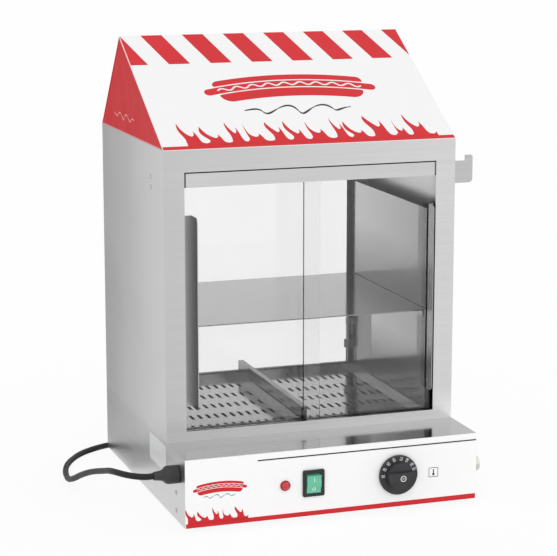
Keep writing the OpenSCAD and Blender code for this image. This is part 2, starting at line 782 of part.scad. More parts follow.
module mains_plug() {
    r = plug_dia / 2;
    color([0.06, 0.06, 0.06]) placed() translate([plug_x, coil_y - coil_r, plug_z]) {
        rotate([0, 90, 0]) rotate_extrude() polygon([
            [0, 0], [5.4, 0], [6, 14], [8, 18], [r - 6, 24], [r - 1.5, 27], [r, 30], [r, 41], [0, 41]
        ]);
        for (s = [-1, 1]) bar_x([40, s * 9.5, 0], 20, 2.4);
    }
}

module type_label() {
    color([0.92, 0.92, 0.92]) placed()
        block([-0.3, label_y, base_h - label_down - label_h], [0, label_y + label_d, base_h - label_down]);
}

module side_panel(x) {
    difference() {
        block([x, sheet, base_h], [x + sheet, cab_d - sheet, top_z]);
        for (p = side_rivets) bar_x([x - 1, p[0], p[1]], sheet + 2, 1.6);
    }
}

module side_panel_left() {
    color([0.75, 0.75, 0.76]) placed() side_panel(0);
}

module side_panel_right() {
    color([0.75, 0.75, 0.76]) placed() side_panel(cab_w - sheet);
}

module front_frame() {
    color([0.83, 0.83, 0.84]) placed() difference() {
        block([0, 0, base_h], [cab_w, sheet, top_z]);
        block([stile_w, -1, frame_bottom], [cab_w - stile_w, sheet + 1, frame_top]);
    }
}

module rear_frame() {
    color([0.75, 0.75, 0.76]) placed() difference() {
        block([0, cab_d - sheet, base_h], [cab_w, cab_d, top_z]);
        block([rear_stile, cab_d - sheet - 1, base_h + rear_sill],
              [cab_w - rear_stile, cab_d + 1, top_z - rear_header]);
        for (x = rear_screw_x, z = rear_screw_z)
            bar_y([x, cab_d - sheet - 1, z], sheet + 2, screw_dia / 2);
    }
}

module rear_glass() {
    color([0.8, 0.9, 0.9, 0.3]) placed()
        block([rear_stile - 6, cab_d - sheet - glass_t, base_h + rear_sill - 5],
              [cab_w - rear_stile + 6, cab_d - sheet, top_z - rear_header + 6]);
}

// Bent clips that hold the rear pane against its frame
module rear_glass_clips() {
    back = cab_d - sheet;
    color([0.8, 0.8, 0.8]) placed()
        for (side = [0, 1], z = [base_h + rear_sill + 20, top_z - rear_header - 60]) {
            out = side == 0 ? rear_stile - 14 : cab_w - rear_stile + 6 + fit;
            over = side == 0 ? rear_stile - 14 : cab_w - rear_stile - 4;
            block([out, back - glass_t - 1.2, z], [out + 8 - fit, back, z + 12]);
            block([over, back - glass_t - 1.2, z], [over + 18, back - glass_t, z + 12]);
        }
}

module ceiling_panel() {
    color([0.75, 0.75, 0.76]) placed()
        block([sheet, sheet, top_z - sheet], [cab_w - sheet, cab_d - sheet, top_z]);
}

module inner_liner(x) {
    block([x, liner_y, base_h], [x + sheet, cab_d - sheet - glass_t - 1.5, base_h + liner_h]);
}

module inner_liner_left() {
    color([0.6, 0.6, 0.61]) placed() inner_liner(liner_in);
}

module inner_liner_right() {
    color([0.6, 0.6, 0.61]) placed() inner_liner(cab_w - liner_in - sheet);
}

// Z-shaped spacers between the liners and the side panels
module liner_brackets() {
    color([0.7, 0.7, 0.7]) placed()
        for (side = [0, 1], y = [liner_y + 20, cab_d - 50], z = [base_h + 40, base_h + liner_h - 40]) {
            x = side == 0 ? sheet : cab_w - liner_in;
            block([x, y, z], [x + liner_in - sheet, y + 1.2, z + 20]);
            block([side == 0 ? sheet : cab_w - sheet - 1.2, y, z],
                  [side == 0 ? sheet + 1.2 : cab_w - sheet, y + 12, z + 20]);
            block([side == 0 ? liner_in - 1.2 : cab_w - liner_in, y, z],
                  [side == 0 ? liner_in : cab_w - liner_in + 1.2, y + 12, z + 20]);
        }
}

// Track bar with two grooves for the panes
module door_track(low_z, high_z, groove_low, groove_high) {
    difference() {
        block([track_inset, track_recess, low_z], [cab_w - track_inset, track_recess + track_d, high_z]);
        for (y = [front_pane_y, rear_pane_y])
            block([track_inset - 1, y - glass_t / 2 - pane_play, groove_low],
                  [cab_w - track_inset + 1, y + glass_t / 2 + pane_play, groove_high]);
    }
}

module door_track_top() {
    color([0.78, 0.78, 0.79]) placed() {
        low = frame_top - track_h;
        door_track(low, frame_top, low - 1, low + upper_groove);
        for (x = [track_tab_in, cab_w - track_tab_in - track_tab_w])
            block([x, sheet, frame_top], [x + track_tab_w, track_recess + 8, frame_top + bracket_t]);
    }
}

module door_track_bottom() {
    high = base_h + low_track_h;
    color([0.3, 0.3, 0.31]) placed() door_track(base_h, high, high - groove_d, high + 1);
}

module door_glass(x, y) {
    block([x, y - glass_t / 2, pane_bottom], [x + door_w, y + glass_t / 2, pane_top]);
}

module door_glass_left() {
    color([0.8, 0.9, 0.9, 0.3]) placed() door_glass(left_door_x, rear_pane_y);
}

module door_glass_right() {
    color([0.8, 0.9, 0.9, 0.3]) placed() door_glass(right_door_x, front_pane_y);
}

// Angle with one leg on the glass and one standing out, its outer corners rounded
module door_pull(leg_x, flange_x, glass_y) {
    low = base_h + pull_up;
    high = low + pull_h;
    r = 6;
    block([leg_x, glass_y - pull_t, low], [leg_x + pull_leg, glass_y, high]);
    translate([flange_x, 0, 0]) rotate([90, 0, 90]) linear_extrude(pull_t) union() {
        translate([-pull_reach + r, low]) square([glass_y + pull_reach - r, pull_h]);
        translate([-pull_reach, low + r]) square([r + 1, pull_h - 2 * r]);
        for (z = [low + r, high - r]) translate([-pull_reach + r, z]) circle(r);
    }
}

module door_pull_left() {
    color([0.4, 0.4, 0.41]) placed()
        door_pull(left_door_x, left_door_x + pull_leg, rear_pane_y - glass_t / 2);
}

module door_pull_right() {
    x = right_door_x + door_w - pull_leg;
    color([0.7, 0.7, 0.71]) placed() door_pull(x, x - pull_t, front_pane_y - glass_t / 2);
}

module shelf_brackets() {
    under = shelf_z - shelf_t;
    y = (liner_y + shelf_back - bracket_len) / 2;
    color([0.6, 0.6, 0.61]) placed() for (side = [0, 1]) {
        wall = side == 0 ? liner_in + sheet : cab_w - liner_in - sheet - bracket_t;
        seat = side == 0 ? liner_in + sheet : cab_w - liner_in - sheet - bracket_leg;
        block([wall, y, under - bracket_leg], [wall + bracket_t, y + bracket_len, under]);
        block([seat, y, under - bracket_t], [seat + bracket_leg, y + bracket_len, under]);
    }
}

// Plate with rounded front corners
module bun_shelf() {
    x = liner_in + sheet + lift_gap;
    r = 8;
    color([0.8, 0.8, 0.81]) placed() translate([0, 0, shelf_z - shelf_t]) linear_extrude(shelf_t) union() {
        translate([x, shelf_front + r]) square([cab_w - 2 * x, shelf_back - shelf_front - r]);
        translate([x + r, shelf_front]) square([cab_w - 2 * x - 2 * r, r + 1]);
        for (side = [x + r, cab_w - x - r]) translate([side, shelf_front + r]) circle(r);
    }
}

// Perforated tray with low lips; rows of slots are centred on it
module sausage_tray(x) {
    depth = tray_back - tray_front;
    across = floor((tray_w - 16) / slot_pitch);
    rows = floor((depth - row_back - slot_len / 2 - 4) / row_pitch) + 1;
    first_x = x + tray_w / 2 - (across - 1) * slot_pitch / 2;
    first_y = tray_back - row_back - (rows - 1) * row_pitch;
    difference() {
        block([x, tray_front, tray_z - sheet], [x + tray_w, tray_back, tray_z + lip_h]);
        block([x + sheet, tray_front + sheet, tray_z],
              [x + tray_w - sheet, tray_back - sheet, tray_z + lip_h + 1]);
        translate([0, 0, tray_z - sheet - 1]) linear_extrude(sheet + 2)
            for (i = [0:across - 1], j = [0:rows - 1])
                translate([first_x + i * slot_pitch, first_y + j * row_pitch]) slot();
    }
}

module slot() {
    straight = slot_len - slot_w;
    square([slot_w, straight], center = true);
    for (s = [-1, 1]) translate([0, s * straight / 2]) circle(slot_w / 2, $fn = 16);
}

module sausage_tray_left() {
    color([0.72, 0.72, 0.73]) placed() sausage_tray(tray_left_x);
}

module sausage_tray_right() {
    color([0.72, 0.72, 0.73]) placed() sausage_tray(cab_w - tray_inner);
}

// Inverted channel that stands on the bar between the trays and hooks over the rear rail
module tray_divider() {
    x = cab_w / 2 - divider_w / 2;
    top = tray_z + divider_h;
    color([0.55, 0.55, 0.56]) placed() difference() {
        block([x, tray_front, base_h], [x + divider_w, tray_back + 6, top]);
        block([x + sheet, tray_front - 1, base_h - 1], [x + divider_w - sheet, tray_back + 7, top - sheet]);
        block([x - 1, tray_back, base_h - 1], [x + divider_w + 1, tray_back + 7, base_h + rail_h + fit]);
    }
}

// Angle on the base's rear edge, behind the trays
module rear_rail() {
    color([0.75, 0.75, 0.76]) placed() {
        block([rail_in, rail_y, base_h], [cab_w - rail_in, rail_y + sheet, base_h + rail_h]);
        block([rail_in, rail_y, base_h], [cab_w - rail_in, rail_y + 4, base_h + sheet]);
    }
}

roof_front_fall = atan2(roof_h, ridge_y);
roof_rear_fall = atan2(roof_h, cab_d - ridge_y);
front_foot = sheet / sin(roof_front_fall);
rear_foot = sheet / sin(roof_rear_fall);
ridge_under = ridge_z - sheet / min(cos(roof_front_fall), cos(roof_rear_fall));

module roof_front_panel() {
    color([0.95, 0.95, 0.95]) placed() profile_x(0, cab_w, [
        [0, top_z], [ridge_y, ridge_z], [ridge_y, ridge_under], [front_foot, top_z]
    ]);
}

module roof_rear_panel() {
    color([0.82, 0.2, 0.2]) placed() profile_x(0, cab_w, [
        [ridge_y, ridge_z], [cab_d, top_z], [cab_d - rear_foot, top_z], [ridge_y, ridge_under]
    ]);
}

module roof_gable(x) {
    profile_x(x, sheet, [
        [front_foot + fit, top_z], [ridge_y, ridge_under - fit], [cab_d - rear_foot - fit, top_z]
    ]);
}

module roof_gable_left() {
    color([0.82, 0.2, 0.2]) placed() roof_gable(gable_in);
}

module roof_gable_right() {
    color([0.82, 0.2, 0.2]) placed() roof_gable(cab_w - sheet - gable_in);
}

// Angles that fasten the gables to the ceiling
module roof_brackets() {
    inner = gable_in + sheet;
    leg = 16;
    color([0.7, 0.7, 0.7]) placed() for (side = [0, 1], y = roof_bracket_y) {
        wall = side == 0 ? inner : cab_w - inner - bracket_t;
        foot = side == 0 ? inner : cab_w - inner - leg;
        block([wall, y, top_z], [wall + bracket_t, y + roof_bracket_len, top_z + leg + 2]);
        block([foot, y, top_z], [foot + leg, y + roof_bracket_len, top_z + bracket_t]);
    }
}

// Flat hook for tongs with an upturned finger and a riveted foot
module tong_hook() {
    end = cab_w + hook_reach;
    finger_w = 10;
    finger_h = 7;
    color([0.72, 0.72, 0.73]) placed() {
        outline_y(hook_y, hook_t) union() {
            translate([cab_w, hook_low]) square([hook_reach - 5, hook_h]);
            translate([end - 6, hook_low + 5]) square([6, hook_h + finger_h - 8]);
            translate([end - 5, hook_low + 5]) circle(5);
            translate([end - finger_w, hook_z - 1]) square([finger_w - 3, finger_h + 1]);
            translate([end - 3, hook_z + finger_h - 3]) circle(3);
        }
        difference() {
            block([cab_w, hook_y, hook_low], [cab_w + hook_t, hook_y + hook_foot, hook_z]);
            for (p = side_rivets) bar_x([cab_w - 1, p[0], p[1]], hook_t + 2, 1.6);
        }
    }
}

// Blind rivet along X: outer head, shank and inner head
module rivet(x, y, z, grip, out) {
    translate([x, y, z]) rotate([0, 90 * out, 0]) {
        rotate_extrude() polygon([
            [0, 0], [rivet_dia / 2, 0], [rivet_dia / 2 - 0.5, rivet_h * 0.6],
            [rivet_dia / 4, rivet_h], [0, rivet_h]
        ]);
        translate([0, 0, -grip - 1.5]) cylinder(h = grip + 1.5, r = 1.5);
        translate([0, 0, -grip - 1.5]) cylinder(h = 1.5, r = 2.2);
    }
}

module panel_rivets() {
    color([0.65, 0.65, 0.66]) placed() {
        for (p = side_rivets) {
            rivet(0, p[0], p[1], sheet, -1);
            rivet(cab_w + hook_t, p[0], p[1], sheet + hook_t, 1);
        }
        for (p = base_rivets) {
            rivet(0, p[0], p[1], sheet, -1);
            rivet(cab_w, p[0], p[1], sheet, 1);
        }
    }
}

module rear_screws() {
    spots = concat(
        [for (x = rear_screw_x, z = rear_screw_z) [x, z]],
        [for (x = base_screw_x) [x, base_screw_z]]
    );
    color([0.6, 0.6, 0.6]) placed() for (p = spots) {
        bar_y([p[0], cab_d, p[1]], head_h, screw_dia - 0.3);
        bar_y([p[0], cab_d - sheet - 4, p[1]], sheet + 4, screw_dia / 2 - 0.1);
    }
}

base_housing();
control_panel();
bottom_plate();
rubber_feet();
foot_screws();
water_tank();
heating_element();
heater_nuts();
drain_pipe();
drain_tap_body();
drain_tap_lever();
thermostat();
thermostat_spindle();
temperature_knob();
sensor_bulb();
sensor_clip();
safety_cutout();
rocker_housing();
rocker_button();
indicator_lamp();
terminal_block();
inner_wiring();
cable_gland();
gland_locknut();
mains_cord();
cord_coil();
mains_plug();
type_label();
side_panel_left();
side_panel_right();
front_frame();
rear_frame();
rear_glass();
rear_glass_clips();
ceiling_panel();
inner_liner_left();
inner_liner_right();
liner_brackets();
door_track_top();
door_track_bottom();
door_glass_left();
door_glass_right();
door_pull_left();
door_pull_right();
shelf_brackets();
bun_shelf();
sausage_tray_left();
sausage_tray_right();
tray_divider();
rear_rail();
roof_front_panel();
roof_rear_panel();
roof_gable_left();
roof_gable_right();
roof_brackets();
tong_hook();
panel_rivets();
rear_screws();
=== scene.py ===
import math

import bmesh
import bpy
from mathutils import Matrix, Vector
from mathutils.geometry import tessellate_polygon


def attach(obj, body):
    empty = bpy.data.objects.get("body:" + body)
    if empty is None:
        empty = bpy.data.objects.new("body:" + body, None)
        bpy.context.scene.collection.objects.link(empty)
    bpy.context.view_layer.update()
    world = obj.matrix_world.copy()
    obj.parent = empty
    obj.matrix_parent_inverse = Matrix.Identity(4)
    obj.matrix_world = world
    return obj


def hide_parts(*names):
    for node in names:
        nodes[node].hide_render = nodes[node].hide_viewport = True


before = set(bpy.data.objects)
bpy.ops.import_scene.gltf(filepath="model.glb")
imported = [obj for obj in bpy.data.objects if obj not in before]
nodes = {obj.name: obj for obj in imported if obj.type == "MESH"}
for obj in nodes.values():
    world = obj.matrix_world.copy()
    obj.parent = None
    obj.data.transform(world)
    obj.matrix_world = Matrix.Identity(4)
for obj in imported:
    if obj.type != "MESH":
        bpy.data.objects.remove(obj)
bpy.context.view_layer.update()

# Sizes, in millimetres from the cabinet's front left corner at the base's lower edge
MID_X, MID_Y, FOOT = 207.4, 100.65, 6.0
CAB_W, CAB_D, TOP_Z, RIDGE_Y, RIDGE_Z = 370.0, 293.0, 435.0, 198.0, 554.0
SLOPE = math.atan2(RIDGE_Z - TOP_Z, RIDGE_Y)
SLOPE_LEN = math.hypot(RIDGE_Y, RIDGE_Z - TOP_Z)


def m(x, y, z):
    """A point of the cabinet, in metres in the row frame."""
    return Vector(((x - MID_X) / 1000, (y - MID_Y) / 1000, (z + FOOT) / 1000))


def srgb(r, g, b):
    """A colour read as 0 to 255, as linear light."""
    return tuple((c / 255 / 12.92) if c <= 10 else ((c / 255 + 0.055) / 1.055) ** 2.4 for c in (r, g, b))


def grey(value):
    return (value, value, value)


def add_object(name, data):
    """A new object in the scene."""
    made = bpy.data.objects.new(name, data)
    bpy.context.collection.objects.link(made)
    return made


# Camera
CAMERA_AT = (-620.84, -2224.26, 741.93)
YAW, PITCH = 0.33015, 0.19576
LENS, SENSOR_W, CLIP_END = 129.14, 36, 100
camera_data = bpy.data.cameras.new("camera")
camera_data.lens = LENS
camera_data.sensor_width = SENSOR_W
camera_data.clip_end = CLIP_END
camera = add_object("camera", camera_data)
camera.location = m(*CAMERA_AT)
look = Vector((math.sin(YAW) * math.cos(PITCH), math.cos(YAW) * math.cos(PITCH), -math.sin(PITCH)))
camera.rotation_mode = "QUATERNION"
camera.rotation_quaternion = look.to_track_quat("-Z", "Y")
bpy.context.scene.camera = camera
bpy.context.scene.view_settings.view_transform = "Standard"


# Materials. Noise lies mostly between these two values, so ramps run from one to the other.
NOISE_LOW, NOISE_HIGH = 0.3, 0.7


class Shader:
    """A node material with its Principled shader, and short ways to add nodes."""

    def __init__(self, name, rough, metallic, **sockets):
        self.mat = bpy.data.materials.new(name)
        self.mat.use_nodes = True
        self.tree = self.mat.node_tree
        self.bsdf = self.tree.nodes["Principled BSDF"]
        self.bsdf.inputs["Roughness"].default_value = rough
        self.bsdf.inputs["Metallic"].default_value = metallic
        for key, value in sockets.items():
            self.bsdf.inputs[key.replace("_", " ")].default_value = value
        self.coords = self.add("ShaderNodeTexCoord")

    def add(self, kind, operation=None):
        node = self.tree.nodes.new(kind)
        if operation:
            node.operation = operation
        return node

    def link(self, a, b):
        self.tree.links.new(a, b)

    def to(self, source, socket):
        """Drives a socket of the Principled shader."""
        self.link(source, self.bsdf.inputs[socket])

    def noise(self, scale, detail, squeeze=None, rough=0.5):
        """Noise over the object's own coordinates, squeezed along each axis."""
        tex = self.add("ShaderNodeTexNoise")
        tex.inputs["Scale"].default_value = scale
        tex.inputs["Detail"].default_value = detail
        tex.inputs["Roughness"].default_value = rough
        if squeeze:
            mapping = self.add("ShaderNodeMapping")
            mapping.inputs["Scale"].default_value = squeeze
            self.link(self.coords.outputs["Object"], mapping.inputs["Vector"])
            self.link(mapping.outputs["Vector"], tex.inputs["Vector"])
        else:
            self.link(self.coords.outputs["Object"], tex.inputs["Vector"])
        return tex.outputs["Fac"]

    def spread(self, source, low, high, from_low=NOISE_LOW, from_high=NOISE_HIGH):
        """A value that runs from low to high while the source runs between its own two ends."""
        node = self.add("ShaderNodeMapRange")
        for key, value in zip(("From Min", "From Max", "To Min", "To Max"), (from_low, from_high, low, high)):
            node.inputs[key].default_value = value
        self.link(source, node.inputs["Value"])
        return node.outputs["Result"]

    def tint(self, source, low, high):
        """A colour between two colours, by the source."""
        ramp = self.add("ShaderNodeValToRGB")
        for stop, place, colour in zip(ramp.color_ramp.elements, (NOISE_LOW, NOISE_HIGH), (low, high)):
            stop.position = place
            stop.color = (*colour, 1)
        self.link(source, ramp.inputs["Fac"])
        return ramp.outputs["Color"]

    def mix(self, factor, a, b):
        """A value between a and b."""
        node = self.add("ShaderNodeMix")
        node.data_type = "FLOAT"
        self.link(factor, node.inputs["Factor"])
        self.link(a, node.inputs["A"])
        self.link(b, node.inputs["B"])
        return node.outputs["Result"]

    def times(self, colour, share):
        """A colour scaled by a value."""
        node = self.add("ShaderNodeVectorMath", "SCALE")
        self.link(colour, node.inputs[0])
        self.link(share, node.inputs["Scale"])
        return node.outputs["Vector"]

    def part(self, coordinate, axis):
        """One axis of the object's own place or normal."""
        parts = self.add("ShaderNodeSeparateXYZ")
        self.link(self.coords.outputs[coordinate], parts.inputs["Vector"])
        return parts.outputs[axis]

    def facing(self, axis):
        """1 where the object's own normal points along an axis, either way."""
        size = self.add("ShaderNodeMath", "ABSOLUTE")
        self.link(self.part("Normal", axis), size.inputs[0])
        over = self.add("ShaderNodeMath", "GREATER_THAN")
        over.inputs[1].default_value = 0.7
        self.link(size.outputs[0], over.inputs[0])
        return over.outputs[0]

    def bump(self, height, strength, distance):
        node = self.add("ShaderNodeBump")
        node.inputs["Strength"].default_value = strength
        node.inputs["Distance"].default_value = distance
        self.link(height, node.inputs["Height"])
        self.to(node.outputs["Normal"], "Normal")


# Scales of the noise that draws brushed steel, along each axis: low along the streaks, high across them
BRUSH = {"x": (5, 420, 420), "y": (420, 5, 420), "z": (420, 420, 5)}
STREAK_SHARE, CLOUD_SHARE = 0.65, 0.35


def steel(name, tone, rough, along="x", side_along=None, spread=0.03, mirror_up=None, bump=0.06, painted_face_shade=(),
          painted_fades=()):
    """Brushed steel: fine streaks along an axis, slow clouds of a finger's width, and a satin sheen.

    tone and spread: the grey and how far it strays. side_along: the streaks' axis on faces across X. mirror_up: the
    roughness of level faces. painted_face_shade: (axis, share) pairs, painted shade that darkens faces across an
    axis.
    painted_fades: (axis, from, to, share at from, share at to), in metres, painted light and shade along an axis."""
    s = Shader(name, rough, 1.0)
    streaks = s.noise(1.0, 3.0, BRUSH[along], 0.6)
    if side_along:
        streaks = s.mix(s.facing("X"), streaks, s.noise(1.0, 3.0, BRUSH[side_along], 0.6))
    clouds = s.noise(9.0, 2.0)
    both = s.add("ShaderNodeMath", "MULTIPLY_ADD")
    both.inputs[1].default_value = CLOUD_SHARE
    s.link(clouds, both.inputs[0])
    scaled = s.add("ShaderNodeMath", "MULTIPLY")
    scaled.inputs[1].default_value = STREAK_SHARE
    s.link(streaks, scaled.inputs[0])
    s.link(scaled.outputs[0], both.inputs[2])
    grain = both.outputs[0]
    colour = s.tint(grain, grey(tone - spread), grey(tone + spread))
    # Painted shade: faces across each listed axis are darkened by its share
    for axis, share in painted_face_shade:
        colour = s.times(colour, s.spread(s.facing(axis), 1.0, share, 0.0, 1.0))
    # Painted light and shade: the colour is scaled by a share that changes along an axis
    for axis, low, high, at_low, at_high in painted_fades:
        colour = s.times(colour, s.spread(s.part("Object", axis), at_low, at_high, low, high))
    s.to(colour, "Base Color")
    sheen = s.spread(grain, rough - 0.05, rough + 0.05)
    if mirror_up is not None:
        sheen = s.mix(s.facing("Z"), sheen, s.spread(grain, mirror_up - 0.02, mirror_up + 0.02))
    s.to(sheen, "Roughness")
    if bump:
        s.bump(streaks, bump, 0.0001)
    return s.mat


def metal(name, colour, rough, spread):
    """Cast or plated metal with small duller patches."""
    s = Shader(name, rough, 1.0)
    low = tuple(c * (1 - spread) for c in colour)
    s.to(s.tint(s.noise(70.0, 4.0), low, colour), "Base Color")
    s.to(s.spread(s.noise(200.0, 3.0), rough - 0.08, rough + 0.1), "Roughness")
    s.bump(s.noise(600.0, 2.0), 0.1, 0.0001)
    return s.mat


def paint(name, colour, rough, coat, spread, gloss=0.3):
    """Printed or powder-coated sheet: even colour with faint clouds and a fine orange peel."""
    s = Shader(name, rough, 0.0, Coat_Weight=coat, Coat_Roughness=0.15, Specular_IOR_Level=gloss)
    low = tuple(max(0, c * (1 - spread)) for c in colour)
    high = tuple(min(1, c * (1 + spread)) for c in colour)
    s.to(s.tint(s.noise(14.0, 3.0), low, high), "Base Color")
    s.to(s.spread(s.noise(40.0, 2.0), rough - 0.04, rough + 0.04), "Roughness")
    s.bump(s.noise(900.0, 1.0), 0.05, 0.00005)
    return s.mat


def plastic(name, colour, rough, grain=2500.0, bump=0.15, spread=0.12, **more):
    """Moulded plastic or rubber with a fine grain and slightly worn, lighter patches."""
    s = Shader(name, rough, 0.0, **more)
    low = tuple(c * (1 - spread) for c in colour)
    high = tuple(min(1, c * (1 + spread)) for c in colour)
    s.to(s.tint(s.noise(60.0, 4.0), low, high), "Base Color")
    s.to(s.spread(s.noise(180.0, 2.0), rough - 0.06, rough + 0.06), "Roughness")
    s.bump(s.noise(grain, 2.0), bump, 0.00005)
    return s.mat


def lens(name, colour, painted_glow):
    """A translucent lens with faint ribs, and an emission that is painted light, though no lamp lights the lens."""
    s = Shader(name, 0.15, 0.0, Coat_Weight=0.6, Coat_Roughness=0.05, Emission_Strength=painted_glow)
    low = tuple(c * 0.8 for c in colour)
    s.to(s.tint(s.noise(500.0, 2.0), low, colour), "Base Color")
    s.to(s.tint(s.noise(300.0, 1.0), low, colour), "Emission Color")
    s.bump(s.noise(700.0, 1.0), 0.1, 0.0001)
    return s.mat


def glass(name, colour):
    """Clear float glass with the faint tint of its edges and a trace of wiping marks."""
    s = Shader(name, 0.0, 0.0, Transmission_Weight=1.0, IOR=1.45)
    tint = tuple(min(1, c * 1.03) for c in colour)
    s.to(s.tint(s.noise(6.0, 2.0), colour, tint), "Base Color")
    s.bump(s.noise(3.0, 1.0), 0.01, 0.0002)
    return s.mat


POLISHED = dict(spread=0.02, bump=0.0)
MAT = {
    # Frame steel: painted light and shade, darkened towards the left and lightened towards the bottom
    "frame": steel("frame steel", 0.63, 0.32, "x", "z",
                   painted_fades=[("X", -0.2, 0.14, 0.88, 1.03), ("Z", 0.08, 0.13, 1.32, 1.0)]),
    "side": steel("side steel", 0.66, 0.34, "z"),
    # Base steel: its level faces, the ledge among them, are darkened as painted shade
    "base": steel("base steel", 0.62, 0.32, "x", "y", mirror_up=0.12, painted_face_shade=[("Z", 0.6)]),
    "track": steel("track steel", 0.6, 0.3, "x"),
    "hook": steel("hook steel", 0.52, 0.35, "x"),
    # Pull steel and the left pull's steel are one steel in two tones, painted light and shade
    "pull": steel("pull steel", 0.34, 0.25, "z", bump=0.0),
    # Shelf steel: its front and back faces are darkened as painted shade, so the front edge shows no bright line
    "shelf": steel("shelf steel", 0.31, 0.1, "x", painted_face_shade=[("Y", 0.8)], **POLISHED),
    "tray": steel("tray steel", 0.3, 0.12, "y", **POLISHED),
    "tank": steel("tank steel", 0.4, 0.25, "x", **POLISHED),
    # Liner steel: painted light and shade, darkened towards the front, the bottom and above the shelf, lightened
    # again towards the top
    "liner": steel("liner steel", 0.46, 0.16, "z",
                   painted_fades=[("Y", -0.07, 0.19, 0.68, 1.12), ("Z", 0.125, 0.175, 0.32, 1.0),
                          ("Z", 0.2232, 0.2238, 1.0, 0.45), ("Z", 0.236, 0.3, 1.0, 2.2)], **POLISHED),
    # Liner steel toned down, for the painted shade drawn on the liners
    "liner shade": steel("liner steel, painted shade", 0.17, 0.2, "z", **POLISHED),
    # Divider steel: a lower tone than the trays' steel as painted shade, with its level faces darkened further
    "divider": steel("divider steel", 0.17, 0.15, "y", painted_face_shade=[("Z", 0.6)], **POLISHED),
    # Steel toned near black as painted shade, for the lower door track, the rings round the rivets and the screw
    # crosses
    "dark": steel("steel painted as shade", 0.16, 0.25, "z", **POLISHED),
    # The left pull's faces across X are darkened as painted shade
    "dark pull": steel("left pull steel, painted shade", 0.44, 0.3, "z", painted_face_shade=[("X", 0.62)], **POLISHED),
    "heater": steel("heat tinted steel", 0.26, 0.4, "y", spread=0.06),
    "zinc": steel("zinc plated steel", 0.55, 0.35, "x", spread=0.06),
    # One white print in two tones, painted light and shade: the roof's toned down, the panel's raised
    "white": paint("white print", srgb(243, 243, 243), 0.35, 0.1, 0.004),
    "panel": paint("panel white print", srgb(254, 254, 254), 0.35, 0.1, 0.004),
    "red": paint("red paint", srgb(206, 34, 42), 0.45, 0.0, 0.03, gloss=0.1),
    "red print": paint("red print", srgb(212, 48, 54), 0.4, 0.0, 0.03, gloss=0.12),
    "pink print": paint("pink print", srgb(236, 176, 178), 0.4, 0.0, 0.03, gloss=0.12),
    "black print": paint("black print", srgb(48, 46, 48), 0.4, 0.0, 0.1, gloss=0.2),
    "white ink": paint("white ink", srgb(238, 238, 238), 0.4, 0.0, 0.02),
    "black plastic": plastic("black plastic", srgb(55, 55, 57), 0.42, Specular_IOR_Level=0.3),
    "black gloss": plastic("black gloss plastic", srgb(40, 40, 43), 0.25, bump=0.05, Specular_IOR_Level=0.35),
    "rubber": plastic("black rubber", srgb(25, 25, 27), 0.5, grain=1500.0, bump=0.3, Specular_IOR_Level=0.3),
    "cream": plastic("cream plastic", srgb(224, 220, 200), 0.5, spread=0.03),
    "red plastic": plastic("red plastic", srgb(190, 30, 32), 0.3),
    # The rocker's lens is given painted light that brightens its tone
    "green lens": lens("green lens", srgb(92, 188, 152), 0.16),
    "red lens": lens("red lens", srgb(206, 22, 44), 0.0),
    # A dark red for the ring at the lamp's edge, which is painted shade
    "dark red": plastic("lamp rim, painted shade", srgb(128, 16, 30), 0.3),
    "label": paint("blank foil label", srgb(222, 223, 224), 0.35, 0.3, 0.02),
    "glass": glass("clear glass", (0.925, 0.928, 0.926)),
    "nickel": metal("nickel plated brass", (0.66, 0.65, 0.62), 0.3, 0.08),
}

# The nodes that wear each material
LOOKS = {
    "base": "base_housing",
    "frame": "front_frame rear_frame",
    "track": "door_track_top",
    "hook": "tong_hook",
    "side": "side_panel_left side_panel_right ceiling_panel",
    "shelf": "bun_shelf rear_rail",
    "divider": "tray_divider",
    "tray": "sausage_tray_left sausage_tray_right liner_brackets shelf_brackets",
    "pull": "door_pull_right",
    "tank": "water_tank drain_pipe",
    "liner": "inner_liner_left inner_liner_right",
    # The lower door track wears steel toned as painted shade
    "dark": "door_track_bottom",
    "dark pull": "door_pull_left",
    "heater": "heating_element",
    "zinc": "bottom_plate roof_brackets sensor_clip sensor_bulb rear_glass_clips foot_screws panel_rivets "
            "rear_screws thermostat_spindle",
    "nickel": "heater_nuts drain_tap_body",
    "white": "roof_front_panel",
    "panel": "control_panel",
    "red": "roof_rear_panel roof_gable_left roof_gable_right",
    "black gloss": "rocker_housing",
    "black plastic": "temperature_knob thermostat safety_cutout cable_gland gland_locknut mains_plug",
    "rubber": "rubber_feet inner_wiring mains_cord cord_coil",
    "green lens": "rocker_button",
    "red lens": "indicator_lamp",
    "red plastic": "drain_tap_lever",
    "cream": "terminal_block",
    "label": "type_label",
    "glass": "door_glass_left door_glass_right rear_glass",
}
looks_of = {node: name for name, listed in LOOKS.items() for node in listed.split()}
for node, made in nodes.items():
    made.data.materials.clear()
    made.data.materials.append(MAT[looks_of[node]])


# Mains cord and its coil, which run along the part's own route. Points lie on the cord's middle line.
CORD_D = 0.0075
CORD_EXIT = (-30, -48, 59)
FLOOR_LINE = -2.25
ROUTE = [
    CORD_EXIT, (-39, -48, 59), (-48, -45.6, 59.6), (-57, -40, 60.3), (-64, -30.5, 60.4), (-69, -16, 59.2),
    (-71, 4, 55), (-73, 28, 48), (-75, 52, 41), (-78, 76, 33), (-81, 99, 24), (-83, 120, 15), (-84, 140, 7),
    (-84, 160, 1), (-82, 180, -1.8),
]
ROUTE += [(x, y, FLOOR_LINE) for x, y in (
    (-79, 200), (-74, 220), (-66, 240), (-55, 259), (-42, 276), (-26, 290), (-8, 301), (12, 309), (34, 314),
    (57, 316.5), (80, 317), (100, 317))]
COIL_X, COIL_Y, COIL_R, COIL_TURNS, COIL_PITCH, TURN_POINTS = 120, 364, 47, 4, 8.1, 24
COIL_HIGH = FLOOR_LINE + COIL_PITCH
